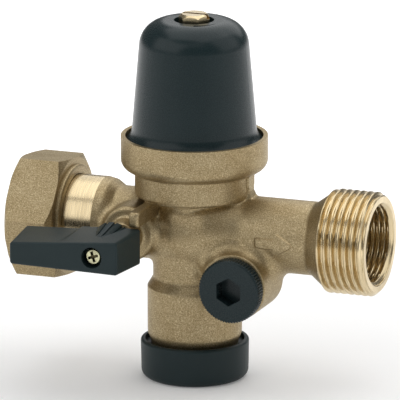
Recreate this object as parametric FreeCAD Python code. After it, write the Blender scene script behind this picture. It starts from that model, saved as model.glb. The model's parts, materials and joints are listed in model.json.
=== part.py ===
import FreeCAD, Part
import math
import os

# Pressure reducing valve, in millimetres. Z points up, the outlet points along +X,
# and the lever is on the -Y side. The origin is the centre of the bottom cap's flat base.

os.makedirs("parts", exist_ok=True)

Vector = FreeCAD.Vector
X_AXIS = Vector(1, 0, 0)
Y_AXIS = Vector(0, 1, 0)
Z_AXIS = Vector(0, 0, 1)

# Clearances
fit_gap = 0.05            # between pieces that seat in each other and don't move
running_gap = 0.06        # radial, round shafts that turn or slide
swivel_gap = 0.2          # radial, union nut on its neck
face_gap = 0.1            # between flat or round faces of pieces that move past each other
overcut = 1.0             # how far a cut runs past the face that it opens
seam_tolerance = 0.001    # how near to a seam an edge lies that is part of it

# Bottom cap
cap_r = 17.35             # at the rim
cap_base_r = 17.1
cap_height = 12.5
cap_floor = 2.6
cap_edge_round = 2.6
cap_rim_round = 0.9
cap_recess_r = 15.9
cap_recess_depth = 1.7
cap_top_gap = 0.6         # between the cap's rim and the shoulder of the barrel

# Lower barrel and vertical core of the casting
barrel_drop = 35.7        # shoulder of the barrel below the run axis
barrel_r = 15.1
barrel_chamfer = 0.6
barrel_top_drop = 18.9    # where the barrel starts to narrow to the core
barrel_flare = 3.0
spigot_r = 13.0           # threaded end inside the cap
barrel_bore_r = 10.8
core_r = 13.3
core_blend = 2.4

# Neck and diaphragm bowl of the casting
neck_r = 19.0
neck_low = 10.8           # underside of the neck above the run axis
neck_round = 1.4
neck_top = 19.0
neck_top_round = 0.8
bowl_r = 23.43
bowl_corner = 20.3        # height at which the bowl's underside would meet its side
bowl_round = 3.4
bowl_rim = 30.4
bowl_floor = 22.0
bowl_bore_r = 22.0
rib_half_width = 2.6
rib_proud = 0.45

# Run of the casting, along X
outlet_end = 62.75
thread_length = 15.65
outlet_thread_r = 16.62   # outside thread of nominal size 1
outlet_bore_r = 12.06     # inside thread of nominal size 3/4
outlet_bore_depth = 14.0
thread_chamfer = 1.4
arm_r = 11.75
arm_bore_r = 9.5
arm_bore_start = 14.0
flare_length = 5.6
belly_r = 15.2
belly_left = -14.0
belly_right = 19.0
left_run_r = 11.3
turned_end = -30.5        # where the turned part of the neck ends
housing_end = -27.9       # where the ball housing rounds down into the run
housing_taper = 0.5       # fall of the cast part's radius between these two
shoulder_length = 2.9
neck_end = -47.0          # sealing face of the inlet neck
inlet_bore_r = 9.6
inlet_bore_depth = 13.0

# Flow path inside the casting
web_low = 4.0             # underside of the seat web above the run axis
web_thickness = 4.0
low_chamber_r = 9.0
low_chamber_depth = 12.0
well_r = 9.0
chamber_r = 15.8
chamber_floor = 13.5
riser_r = 3.5             # rounded slot that leads up from the outlet arm
riser_x = 14.0
riser_half_spread = 2.0
riser_corner_share = 0.98  # of riser_r, so that neighbouring rounds don't meet

# Gauge boss and its plug, along Y
gauge_x = 19.35
gauge_drop = 14.4
gauge_boss_r = 10.8
gauge_boss_shift = 0.3    # of the cast boss towards the run and the barrel, off its bore
gauge_front = -16.5
gauge_back = 2.2
gauge_round = 2.0
gauge_blend = 4.0         # where the boss meets the run
gauge_thread_r = 6.1
gauge_bore_depth = 10.5
gauge_tap_r = 2.0
gauge_tap_y = -7.0
plug_r = 10.3
plug_face_r = 9.5
plug_head = 4.5
plug_chamfer = 0.7
plug_shank = 8.5
plug_seal_r = 7.7
socket_flats = 8.0
socket_depth = 5.0

# Union nut at the inlet
nut_bore_r = 15.14        # inside thread of nominal size 1
nut_wall = 3.61           # between this bore and the flats
nut_corner_angle = 65.9   # of one corner, from -Y towards +Z
nut_open_end = -57.8
nut_hex_length = 16.2
nut_collar_width = 3.0    # radial, from the neck to the collar's edge
nut_collar = 1.4
nut_thread_length = 8.4
nut_relief = 0.6          # radial, where the washer lies behind the thread
nut_web = 2.4
nut_end_chamfer = 2.7     # radial, from the hexagon's corners to its end faces
neck_clearance = 1.44     # radial, between the turned neck and the nut's thread
wire_r = 0.8
wire_proud = 0.7
washer_thickness = 2.0
washer_bore_r = 9.8

# Shut-off ball, its stem and its seats
stem_x = -16.9
ball_r = 7.0
ball_port_r = 4.6
ball_cavity_r = 7.4
seat_ring_reach = 6.1     # from the ball's centre to the back of each seat ring
seat_ring_length = 2.2
retainer_length = 9.5
stem_r = 3.5
stem_collar_r = 4.6
stem_collar = 1.6
stem_boss_r = 9.0
stem_boss_front = -15.5
stem_boss_draft = 0.2     # growth of the boss's radius towards the run
stem_boss_blend = 2.5     # where the boss meets the run
gland_r = 5.2
gland_front = -22.0
stem_tang_width = 2.4
stem_tang_depth = 1.8
stem_square = 5.0
stem_front = -41.0
stem_seal_y = -15.5
stem_seal_r = 0.9

# Lever handle
lever_front = -46.8
lever_depth = 18.8
lever_tip = -44.7
lever_hub_end = -8.3
lever_top = 5.6           # of the front face at its hub end, above the stem's axis
lever_bottom = 5.15       # of the front face at its hub end, below the stem's axis
lever_tip_top = 2.5
lever_tip_bottom = 4.5
lever_tip_draft = 2.1     # how much further out the back edge of each side is
lever_end_draft = 0.5
lever_top_draft = 0.6
lever_bottom_draft = 1.05
land_start = -28.6        # where the raised land of the top side starts
land_rise = 0.7           # of that land at the back edge, none at the front
land_ramp = 1.4
lever_wall = 1.6
lever_face = 2.0
lever_round = 1.0
lever_gap = 0.35          # between the lever and the stop lug, at either end of its turn
hub_r = 7.0               # at the lever's back edge
hub_front_r = 4.8
hub_length = 12.5
hub_core_r = 5.0
hub_groove_count = 3
hub_groove_r = 0.45
hub_groove_middle = 83.0  # degrees above the +X direction
hub_groove_spread = 22.5  # degrees between the grooves
screw_recess_r = 3.4
screw_recess_depth = 3.4
screw_head_r = 2.9
screw_head = 2.0
screw_shank_r = 1.9
screw_length = 9.0
cross_width = 0.9
cross_reach = 1.75
cross_depth = 1.3
cross_angle = 18.0        # degrees, from +X towards +Z
lug_width = 3.5
lug_height = 5.0
lug_front = -29.5
lug_round = 0.6

# Spring bonnet
bonnet_foot_r = 21.8
bonnet_foot_top = 29.2    # above the run axis
bonnet_low_r = 20.0
bonnet_low = 30.8
bonnet_top_r = 16.83
bonnet_top = 67.9
bonnet_round = 8.4
bonnet_wall = 2.6
bonnet_roof = 3.5
bonnet_flare = 5.0
screw_well_r = 6.4
screw_well_depth = 1.7
guide_rib_width = 2.4
guide_rib_proud = 1.8
arrow_depth = 0.35
arrow_out_r = 9.6
arrow_in_r = 8.0
arrow_sweep = 55.0
arrow_bow = 0.2           # how far each flank's middle bows outwards
arrow_starts = (110.0, 290.0)

# Adjusting screw and spring
adjuster_r = 5.1
adjuster_flats = 8.8
adjuster_proud = 2.1      # above the bonnet's top
adjuster_hex = 3.5
adjuster_chamfer_r = 4.0
adjuster_slot = 1.3
adjuster_slot_depth = 1.5
adjuster_collar_r = 8.6
adjuster_collar = 2.2
adjuster_thread_r = 4.0
adjuster_reach = 5.0      # of the thread below the upper plate's hub
spring_wire_r = 1.5
spring_room = 0.53        # radial, between the spring and the bonnet's ribs
spring_turns = 5.2
upper_plate_drop = 15.9   # underside of the upper plate below the bonnet's top
upper_plate_rim = 1.1     # radial, of the upper plate beyond the spring
upper_plate = 2.4
upper_plate_hub_r = 7.6
upper_plate_hub = 4.0

# Diaphragm and what is clamped to it
diaphragm_thickness = 2.0
diaphragm_roll_r = 1.6
diaphragm_roll_gap = 0.2  # between the roll and what clamps the diaphragm
diaphragm_round = 0.4
diaphragm_tight_round = 0.2
slip_ring_width = 4.0
slip_ring_thickness = 0.8
plate_rim = 0.9           # radial, of the lower plate beyond the spring
plate_thickness = 1.6
plate_lip = 1.8
plate_lip_wall = 0.8
washer_r = 11.6
washer_plate = 1.4
spindle_r = 2.5
spindle_nut_flats = 8.0
spindle_nut_height = 4.0

# Seat, disc and balancing piston
seat_bore_r = 4.6
seat_ring_r = 6.55
seat_lip = 0.9
seat_lip_width = 0.8
seat_flange_r = 7.8
seat_flange = 1.0
valve_travel = 2.5
disc_r = 5.9
disc_thickness = 2.4
holder_r = 7.0
holder_height = 3.4
piston_r = 4.6
piston_length = 13.0
piston_seal_drop = 9.0    # of the piston's seal below its holder
seal_r = 0.9

# Guide insert and strainer
guide_flange_r = 12.6
guide_flange = 1.15
guide_tube_r = 7.2
guide_tube_top = 9.5      # top of the guide tube below the run axis
guide_shoulder = 22.0     # top of the wide part below the run axis
guide_floor = 3.0
guide_hollow_r = 7.5
guide_seal_drop = 29.0
strainer_r = 8.7
strainer_wall = 0.7
strainer_columns = 12
strainer_rows = 3
strainer_slot_height = 5.0
strainer_slot_width = 2.2

# Sizes that follow from the ones above
run_height = cap_height + cap_top_gap + barrel_drop
rim_height = run_height + bowl_rim
floor_height = run_height + bowl_floor
web_top = web_low + web_thickness
spigot_end = cap_floor + guide_flange + fit_gap
diaphragm_top = floor_height + diaphragm_thickness
bonnet_seat = diaphragm_top + slip_ring_thickness
thread_start = outlet_end - thread_length
housing_r = nut_bore_r - neck_clearance
nut_flats = 2 * (nut_bore_r + nut_wall)
nut_hex_end = nut_open_end + nut_hex_length
seat_lip_low = web_low - seat_lip
disc_top = seat_lip_low - valve_travel - face_gap
holder_low = disc_top - holder_height
screw_floor = lever_front + screw_recess_depth
lever_back = lever_front + lever_depth
lug_low = lever_top + lever_gap
lug_left = stem_x + lever_top
adjuster_top = bonnet_top + adjuster_proud
spring_out_r = bonnet_top_r - bonnet_wall - guide_rib_proud - spring_room
spring_r = spring_out_r - spring_wire_r
upper_plate_r = spring_out_r + upper_plate_rim
plate_r = spring_out_r + plate_rim
upper_plate_z = bonnet_top - upper_plate_drop
adjuster_end = upper_plate_z - upper_plate_hub - adjuster_reach


def face_through(corners, place):
    """Flat face with an outline of corners (u, v) or (u, v, radius of the round)."""
    corners = [corner if len(corner) == 3 else (*corner, 0.0) for corner in corners]
    flat = [Vector(u, v, 0) for u, v, radius in corners]
    rounds = []
    for index, (u, v, radius) in enumerate(corners):
        corner = flat[index]
        before = (flat[index - 1] - corner).normalize()
        after = (flat[(index + 1) % len(flat)] - corner).normalize()
        if radius == 0:
            rounds.append((corner, None, corner))
            continue
        half = before.getAngle(after) / 2
        reach = radius / math.tan(half)
        inward = (before + after).normalize()
        middle = corner + inward * (radius / math.sin(half) - radius)
        rounds.append((corner + before * reach, middle, corner + after * reach))
    edges = []
    for index, (start, middle, end) in enumerate(rounds):
        if middle is not None:
            edges.append(Part.Arc(place(start), place(middle), place(end)).toShape())
        following = rounds[(index + 1) % len(rounds)][0]
        if end.distanceToPoint(following) > 1e-6:
            edges.append(Part.LineSegment(place(end), place(following)).toShape())
    return Part.Face(Part.Wire(edges))


def turned_z(corners):
    """Solid turned about the vertical axis, from corners (radius, z)."""
    face = face_through(corners, lambda p: Vector(p.x, 0, p.y))
    return face.revolve(Vector(0, 0, 0), Z_AXIS, 360)


def turned_x(corners):
    """Solid turned about the run axis, from corners (x, radius)."""
    face = face_through(corners, lambda p: Vector(p.x, 0, run_height + p.y))
    return face.revolve(Vector(0, 0, run_height), X_AXIS, 360)


def turned_y(corners, x, z):
    """Solid turned about the line along Y through x and z, from corners (y, radius)."""
    face = face_through(corners, lambda p: Vector(x, p.x, z + p.y))
    return face.revolve(Vector(x, 0, z), Y_AXIS, 360)


def slab_y(corners, y_low, y_high):
    """Slab with an outline of corners (x, z) between two places on Y."""
    face = face_through(corners, lambda p: Vector(p.x, y_low, p.y))
    return face.extrude(Y_AXIS * (y_high - y_low))


def slab_z(corners, z_low, z_high):
    """Slab with an outline of corners (x, y) between two heights."""
    face = face_through(corners, lambda p: Vector(p.x, p.y, z_low))
    return face.extrude(Z_AXIS * (z_high - z_low))


def box(x_range, y_range, z_range):
    """Block between two places on each axis."""
    corner = Vector(x_range[0], y_range[0], z_range[0])
    length, width, height = (high - low for low, high in (x_range, y_range, z_range))
    return Part.makeBox(length, width, height, corner)


def rod(radius, start, direction, length):
    """Round rod from a start point along a direction."""
    return Part.makeCylinder(radius, length, start, direction)


def hex_corners(flats, first_angle=0.0):
    """Six corners of a hexagon of a width across flats, the first at an angle in degrees."""
    radius = flats / math.sqrt(3)
    angles = [math.radians(first_angle + 60 * index) for index in range(6)]
    return [(radius * math.cos(angle), radius * math.sin(angle)) for angle in angles]


def moved(shape, x=0.0, y=0.0, z=0.0):
    """Shape shifted by a distance on each axis."""
    shape.translate(Vector(x, y, z))
    return shape


def blended(first, second, radius):
    """Two solids joined, with their seam rounded as a casting's corner is."""
    whole = first.fuse(second).removeSplitter()
    seam = first.section(second)
    corners = []
    for edge in whole.Edges:
        middle = edge.valueAt((edge.FirstParameter + edge.LastParameter) / 2)
        if seam.distToShape(Part.Vertex(middle))[0] < seam_tolerance:
            corners.append(edge)
    return whole.makeFillet(radius, corners)


def casting_outside():
    """Outer form of the casting, before its bores are cut."""
    barrel_end = run_height - barrel_drop
    column = turned_z([
        (0, spigot_end),
        (spigot_r, spigot_end, barrel_chamfer),
        (spigot_r, barrel_end),
        (barrel_r - barrel_chamfer, barrel_end),
        (barrel_r, barrel_end + barrel_chamfer),
        (barrel_r, run_height - barrel_top_drop, barrel_chamfer),
        (core_r, run_height - barrel_top_drop + barrel_flare, core_blend),
        (core_r, run_height + neck_low, core_blend),
        (neck_r, run_height + neck_low, neck_round),
        (neck_r, run_height + neck_top, neck_top_round),
        (bowl_r, run_height + bowl_corner, bowl_round),
        (bowl_r, rim_height),
        (0, rim_height),
    ])
    run = turned_x([
        (neck_end, 0),
        (neck_end, housing_r, barrel_chamfer),
        (turned_end, housing_r),
        (housing_end, housing_r - housing_taper, shoulder_length / 4),
        (housing_end + shoulder_length, left_run_r, core_blend),
        (belly_left, left_run_r, core_blend),
        ((2 * belly_left + belly_right) / 3, belly_r, belly_r / 2),
        ((belly_left + 2 * belly_right) / 3, belly_r, belly_r / 2),
        (belly_right, arm_r, belly_r / 2),
        (thread_start - flare_length, arm_r, core_blend),
        (thread_start, outlet_thread_r - thread_chamfer / 2),
        (thread_start, outlet_thread_r),
        (outlet_end - thread_chamfer, outlet_thread_r),
        (outlet_end, outlet_thread_r - thread_chamfer),
        (outlet_end, 0),
    ])
    gauge_boss = turned_y([
        (gauge_front, 0),
        (gauge_front, gauge_boss_r, barrel_chamfer),
        (gauge_back, gauge_boss_r, gauge_round),
        (gauge_back, 0),
    ], gauge_x - gauge_boss_shift, run_height - gauge_drop + gauge_boss_shift)
    stem_boss = turned_y([
        (gland_front, 0),
        (gland_front, gland_r, barrel_chamfer),
        (stem_boss_front, gland_r),
        (stem_boss_front, stem_boss_r, neck_round),
        (0, stem_boss_r + stem_boss_draft),
        (0, 0),
    ], stem_x, run_height)
    lug_z = run_height + lug_low
    stop_lug = slab_y([
        (lug_left, lug_z, lug_round),
        (lug_left + lug_width, lug_z, lug_round),
        (lug_left + lug_width, lug_z + lug_height, lug_round),
        (lug_left, lug_z + lug_height, lug_round),
    ], lug_front, -spigot_r / 2)
    rib_r = neck_r + rib_proud
    rib = slab_y([
        (core_r, run_height + bowl_floor),
        (core_r, run_height),
        (rib_r + arm_r - neck_low, run_height),
        (rib_r + arm_r - neck_low, run_height + neck_low),
        (rib_r, run_height + arm_r + core_blend, core_blend),
        (rib_r, run_height + bowl_corner),
        (rib_r, run_height + bowl_floor),
    ], -rib_half_width, rib_half_width)
    rib = rib.common(rod(rib_r + core_blend, Vector(0, 0, run_height), Z_AXIS, bowl_floor))
    run = blended(run, gauge_boss, gauge_blend)
    run = blended(run, stem_boss, stem_boss_blend)
    return column.fuse([run, stop_lug, rib])


def casting_cavity():
    """Everything that is bored out of the casting, as one shape."""
    chamber = turned_z([
        (0, spigot_end - overcut),
        (barrel_bore_r, spigot_end - overcut),
        (barrel_bore_r, run_height + web_low - low_chamber_depth),
        (low_chamber_r, run_height + web_low - low_chamber_depth + barrel_bore_r - low_chamber_r),
        (low_chamber_r, run_height + web_low),
        (seat_ring_r + fit_gap, run_height + web_low),
        (seat_ring_r + fit_gap, run_height + web_top),
        (well_r, run_height + web_top),
        (well_r, run_height + chamber_floor),
        (chamber_r, run_height + chamber_floor, neck_round),
        (chamber_r, floor_height),
        (bowl_bore_r, floor_height),
        (bowl_bore_r, rim_height + overcut),
        (0, rim_height + overcut),
    ])
    cavity_end = stem_x + seat_ring_reach
    mouth_end = neck_end + inlet_bore_depth
    inlet = turned_x([
        (neck_end - overcut, 0),
        (neck_end - overcut, inlet_bore_r),
        (mouth_end, inlet_bore_r),
        (mouth_end + inlet_bore_r - ball_cavity_r, ball_cavity_r),
        (cavity_end, ball_cavity_r),
        (cavity_end, ball_port_r),
        (-ball_port_r, ball_port_r),
        (-ball_port_r, 0),
    ])
    thread_bottom = outlet_end - outlet_bore_depth
    mouth_r = outlet_bore_r + thread_chamfer
    outlet = turned_x([
        (arm_bore_start, 0),
        (arm_bore_start, arm_bore_r, core_blend),
        (thread_bottom - outlet_bore_r + arm_bore_r, arm_bore_r),
        (thread_bottom, outlet_bore_r),
        (outlet_end - thread_chamfer, outlet_bore_r),
        (outlet_end, mouth_r),
        (outlet_end + overcut, mouth_r),
        (outlet_end + overcut, 0),
    ])
    riser = slab_z([
        (riser_x - riser_r, -riser_half_spread - riser_r, riser_r * riser_corner_share),
        (riser_x + riser_r, -riser_half_spread - riser_r, riser_r * riser_corner_share),
        (riser_x + riser_r, riser_half_spread + riser_r, riser_r * riser_corner_share),
        (riser_x - riser_r, riser_half_spread + riser_r, riser_r * riser_corner_share),
    ], run_height, run_height + chamber_floor + neck_round)
    gauge_z = run_height - gauge_drop
    gauge_hole = turned_y([
        (gauge_front - overcut, 0),
        (gauge_front - overcut, gauge_thread_r + fit_gap),
        (gauge_front + gauge_bore_depth, gauge_thread_r + fit_gap),
        (gauge_front + gauge_bore_depth, 0),
    ], gauge_x, gauge_z)
    tap = rod(gauge_tap_r, Vector(gauge_x, gauge_tap_y, gauge_z), Z_AXIS, gauge_drop - arm_bore_r / 2)
    stem_hole = turned_y([
        (gland_front - overcut, 0),
        (gland_front - overcut, stem_r + running_gap),
        (-ball_cavity_r - stem_collar - face_gap, stem_r + running_gap),
        (-ball_cavity_r - stem_collar - face_gap, stem_collar_r + face_gap),
        (0, stem_collar_r + face_gap),
        (0, 0),
    ], stem_x, run_height)
    groove_r = housing_r + wire_proud - 2 * wire_r
    groove_low = neck_end + wire_r
    wire_groove = turned_x([
        (groove_low, groove_r),
        (groove_low + 2 * wire_r + 2 * fit_gap, groove_r),
        (groove_low + 2 * wire_r + 2 * fit_gap, housing_r + overcut),
        (groove_low, housing_r + overcut),
    ])
    return chamber.fuse([inlet, outlet, riser, gauge_hole, tap, stem_hole, wire_groove])


def valve_body():
    """The brass casting: bowl, neck, run, outlet arm, bosses, barrel and stop lug."""
    return casting_outside().cut(casting_cavity()).removeSplitter()


def spring_bonnet():
    """Tapered plastic dome that screws into the bowl, with guide ribs and a screw well."""
    top = run_height + bonnet_top
    low = run_height + bonnet_low
    outside = turned_z([
        (0, bonnet_seat),
        (bonnet_foot_r, bonnet_seat, cap_rim_round / 2),
        (bonnet_foot_r, run_height + bonnet_foot_top, cap_rim_round / 2),
        (bonnet_low_r, low, bonnet_flare),
        (bonnet_top_r, top, bonnet_round),
        (0, top),
    ])
    inner_low_r = bonnet_low_r - bonnet_wall
    roof = top - bonnet_roof
    inside = turned_z([
        (0, bonnet_seat - overcut),
        (inner_low_r, bonnet_seat - overcut),
        (inner_low_r, low),
        (bonnet_top_r - bonnet_wall, roof, bonnet_round - bonnet_wall),
        (0, roof),
    ])
    bonnet = outside.cut(inside)
    rib_top = roof - bonnet_round
    rib_low = run_height + upper_plate_z - 4 * valve_travel
    for side in (-1, 1):
        reach = bonnet_top_r - bonnet_wall - guide_rib_proud
        rib = box(sorted((side * reach, side * bonnet_top_r)),
                  (-guide_rib_width / 2, guide_rib_width / 2), (rib_low, rib_top))
        bonnet = bonnet.fuse(rib.common(outside))
    well = rod(screw_well_r, Vector(0, 0, top - screw_well_depth), Z_AXIS, screw_well_depth + overcut)
    hole = rod(adjuster_r + running_gap, Vector(0, 0, roof - overcut), Z_AXIS, bonnet_roof + 2 * overcut)
    bonnet = bonnet.cut([well, hole])
    for start in arrow_starts:
        bonnet = bonnet.cut(turn_arrow(start, top - arrow_depth))
    return bonnet.removeSplitter()


def turn_arrow(start_angle, bottom):
    """Sickle-shaped recess round the screw, from a wide end to a point."""
    def polar(radius, angle):
        turn = math.radians(angle)
        return Vector(radius * math.cos(turn), radius * math.sin(turn), bottom)
    middle = (arrow_in_r + arrow_out_r) / 2
    half_way = start_angle + arrow_sweep / 2
    end_angle = start_angle + arrow_sweep
    outer = Part.Arc(polar(arrow_out_r, start_angle), polar((arrow_out_r + middle) / 2 + arrow_bow, half_way),
                     polar(middle, end_angle)).toShape()
    inner = Part.Arc(polar(middle, end_angle), polar((arrow_in_r + middle) / 2 + arrow_bow, half_way),
                     polar(arrow_in_r, start_angle)).toShape()
    close = Part.LineSegment(polar(arrow_in_r, start_angle), polar(arrow_out_r, start_angle)).toShape()
    face = Part.Face(Part.Wire([outer, inner, close]))
    return face.extrude(Z_AXIS * (arrow_depth + overcut))


def adjusting_screw():
    """Brass screw with a slotted hexagon, a collar under the roof and a threaded stem."""
    top = run_height + adjuster_top
    roof = run_height + bonnet_top - bonnet_roof
    collar_top = roof - face_gap
    hex_low = top - adjuster_hex
    body = turned_z([
        (0, run_height + adjuster_end),
        (adjuster_thread_r, run_height + adjuster_end, barrel_chamfer),
        (adjuster_thread_r, collar_top - adjuster_collar),
        (adjuster_collar_r, collar_top - adjuster_collar, barrel_chamfer),
        (adjuster_collar_r, collar_top),
        (adjuster_r, collar_top),
        (adjuster_r, hex_low),
        (0, hex_low),
    ])
    corner_r = adjuster_flats / math.sqrt(3)
    head = slab_z(hex_corners(adjuster_flats, nut_corner_angle), hex_low, top)
    dome = turned_z([
        (0, hex_low),
        (corner_r, hex_low),
        (corner_r, top - (corner_r - adjuster_chamfer_r)),
        (adjuster_chamfer_r, top),
        (0, top),
    ])
    slot = box((-2 * adjuster_r, 2 * adjuster_r), (-adjuster_slot / 2, adjuster_slot / 2),
               (top - adjuster_slot_depth, top + overcut))
    return body.fuse(head.common(dome)).cut(slot).removeSplitter()


def upper_spring_plate():
    """Plate that climbs on the screw, kept from turning by the bonnet's guide ribs."""
    low = run_height + upper_plate_z
    bore_r = adjuster_thread_r + running_gap
    plate = turned_z([
        (bore_r, low - upper_plate_hub),
        (upper_plate_hub_r, low - upper_plate_hub, barrel_chamfer),
        (upper_plate_hub_r, low),
        (upper_plate_r, low, barrel_chamfer),
        (upper_plate_r, low + upper_plate, barrel_chamfer),
        (bore_r, low + upper_plate),
    ])
    for side in (-1, 1):
        reach = bonnet_top_r - bonnet_wall - guide_rib_proud - swivel_gap
        half = guide_rib_width / 2 + swivel_gap
        notch = box(sorted((side * reach, side * (upper_plate_r + overcut))), (-half, half),
                    (low - overcut, low + upper_plate + overcut))
        plate = plate.cut(notch)
    return plate


def adjusting_spring():
    """Compression spring of round wire with ends ground flat against its plates."""
    low = diaphragm_top + plate_thickness
    high = run_height + upper_plate_z
    height = high - low
    pitch = height / (spring_turns - 1)
    helix = Part.makeHelix(pitch, pitch * spring_turns, spring_r)
    helix.translate(Vector(0, 0, low - pitch / 2))
    section = Part.Wire(Part.makeCircle(spring_wire_r, Vector(spring_r, 0, low - pitch / 2), Y_AXIS))
    coil = Part.Wire(helix.Edges).makePipeShell([section], True, True)
    room = rod(spring_r + 2 * spring_wire_r, Vector(0, 0, low), Z_AXIS, height)
    return coil.common(room)


def lower_spring_plate():
    """Cupped plate that spreads the spring's load over the diaphragm."""
    low = diaphragm_top
    bore_r = spindle_r + fit_gap
    return turned_z([
        (bore_r, low),
        (plate_r, low, barrel_chamfer),
        (plate_r, low + plate_thickness + plate_lip),
        (plate_r - plate_lip_wall, low + plate_thickness + plate_lip),
        (plate_r - plate_lip_wall, low + plate_thickness),
        (bore_r, low + plate_thickness),
    ])


def diaphragm():
    """Rubber disc clamped at its rim, with a rolled ring between rim and centre."""
    low = floor_height
    top = diaphragm_top
    roll_middle = (plate_r + chamber_r) / 2
    half = (chamber_r - plate_r) / 2 - diaphragm_roll_gap
    bore_r = spindle_r + fit_gap
    rim_r = bowl_bore_r - fit_gap
    return turned_z([
        (bore_r, low),
        (roll_middle - half, low, diaphragm_round),
        (roll_middle - half / 2, low - diaphragm_roll_r, diaphragm_round),
        (roll_middle + half / 2, low - diaphragm_roll_r, diaphragm_round),
        (roll_middle + half, low, diaphragm_tight_round),
        (rim_r, low),
        (rim_r, top),
        (roll_middle + half, top, diaphragm_round),
        (roll_middle + half / 4, top - diaphragm_roll_r, diaphragm_tight_round),
        (roll_middle - half / 4, top - diaphragm_roll_r, diaphragm_tight_round),
        (roll_middle - half, top, diaphragm_round),
        (bore_r, top),
    ])


def diaphragm_washer():
    """Brass washer that backs the diaphragm from below."""
    return turned_z([
        (spindle_r + fit_gap, floor_height - washer_plate),
        (washer_r, floor_height - washer_plate, barrel_chamfer),
        (washer_r, floor_height),
        (spindle_r + fit_gap, floor_height),
    ])


def slip_ring():
    """Thin ring that lets the bonnet turn home without dragging the diaphragm."""
    outer = bonnet_foot_r - swivel_gap
    return turned_z([
        (outer - slip_ring_width, diaphragm_top),
        (outer, diaphragm_top),
        (outer, bonnet_seat),
        (outer - slip_ring_width, bonnet_seat),
    ])


def spindle():
    """Steel rod that carries the diaphragm's motion down to the seat disc."""
    low = run_height + disc_top - disc_thickness
    shoulder = floor_height - washer_plate
    top = diaphragm_top + plate_thickness + spindle_nut_height + 2 * barrel_chamfer
    return turned_z([
        (0, low),
        (spindle_r, low),
        (spindle_r, shoulder - 2 * barrel_chamfer),
        (spindle_r + overcut, shoulder - 2 * barrel_chamfer),
        (spindle_r + overcut, shoulder),
        (spindle_r, shoulder),
        (spindle_r, top, barrel_chamfer),
        (0, top),
    ])


def spindle_nut():
    """Nut that clamps plate, diaphragm and washer on the spindle."""
    low = diaphragm_top + plate_thickness
    nut = slab_z(hex_corners(spindle_nut_flats), low, low + spindle_nut_height)
    corner_r = spindle_nut_flats / math.sqrt(3)
    cone = turned_z([
        (0, low),
        (corner_r, low),
        (corner_r, low + spindle_nut_height - barrel_chamfer),
        (spindle_nut_flats / 2, low + spindle_nut_height),
        (0, low + spindle_nut_height),
    ])
    return nut.common(cone).cut(rod(spindle_r + fit_gap, Vector(0, 0, low - overcut), Z_AXIS, 10 * overcut))


def valve_seat():
    """Stainless ring in the web, with a narrow lip that points down at the disc."""
    low = run_height + web_low
    top = run_height + web_top
    return turned_z([
        (seat_bore_r, low - seat_lip),
        (seat_bore_r + seat_lip_width, low - seat_lip, seat_lip_width / 3),
        (seat_bore_r + seat_lip_width, low),
        (seat_ring_r, low),
        (seat_ring_r, top),
        (seat_flange_r, top),
        (seat_flange_r, top + seat_flange),
        (seat_bore_r, top + seat_flange),
    ])


def seat_disc():
    """Rubber disc that closes on the seat lip."""
    top = run_height + disc_top
    return turned_z([
        (spindle_r + fit_gap, top - disc_thickness),
        (disc_r, top - disc_thickness),
        (disc_r, top),
        (spindle_r + fit_gap, top),
    ])


def disc_holder():
    """Brass cup for the disc, with the balancing piston below it."""
    top = run_height + disc_top
    floor = top - disc_thickness
    low = run_height + holder_low
    seal_z = low - piston_seal_drop
    groove_r = piston_r + running_gap - 2 * seal_r
    return turned_z([
        (0, low - piston_length),
        (piston_r, low - piston_length, barrel_chamfer),
        (piston_r, seal_z - seal_r - fit_gap),
        (groove_r, seal_z - seal_r - fit_gap),
        (groove_r, seal_z + seal_r + fit_gap),
        (piston_r, seal_z + seal_r + fit_gap),
        (piston_r, low),
        (holder_r, low, barrel_chamfer),
        (holder_r, top),
        (disc_r + fit_gap, top),
        (disc_r + fit_gap, floor),
        (0, floor),
    ])


def ring_seal(radius, section, centre, direction):
    """Round rubber seal ring of a mean radius and a section radius."""
    return Part.makeTorus(radius, section, centre, direction)


def piston_o_ring():
    """Seal of the balancing piston."""
    centre = Vector(0, 0, run_height + holder_low - piston_seal_drop)
    return ring_seal(piston_r + running_gap - seal_r, seal_r - fit_gap, centre, Z_AXIS)


def guide_insert():
    """Plastic guide that closes the barrel and guides the balancing piston."""
    tube_top = run_height - guide_tube_top
    shoulder = run_height - guide_shoulder
    body_r = barrel_bore_r - fit_gap
    seal_z = run_height - guide_seal_drop
    groove_r = barrel_bore_r - 2 * seal_r
    guide = turned_z([
        (0, cap_floor),
        (guide_flange_r, cap_floor),
        (guide_flange_r, cap_floor + guide_flange),
        (body_r, cap_floor + guide_flange),
        (body_r, seal_z - seal_r - fit_gap),
        (groove_r, seal_z - seal_r - fit_gap),
        (groove_r, seal_z + seal_r + fit_gap),
        (body_r, seal_z + seal_r + fit_gap),
        (body_r, shoulder),
        (guide_tube_r, shoulder),
        (guide_tube_r, tube_top, cap_rim_round / 2),
        (0, tube_top),
    ])
    bore_bottom = run_height + holder_low - piston_length - valve_travel
    bore = rod(piston_r + running_gap, Vector(0, 0, bore_bottom), Z_AXIS, tube_top - bore_bottom + overcut)
    hollow_top = bore_bottom - guide_floor
    hollow = turned_z([
        (0, cap_floor - overcut),
        (guide_hollow_r, cap_floor - overcut),
        (guide_hollow_r, hollow_top, cap_edge_round),
        (0, hollow_top),
    ])
    return guide.cut([bore, hollow])


def guide_o_ring():
    """Seal of the guide insert in the barrel."""
    centre = Vector(0, 0, run_height - guide_seal_drop)
    return ring_seal(barrel_bore_r - seal_r, seal_r - fit_gap, centre, Z_AXIS)


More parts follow.
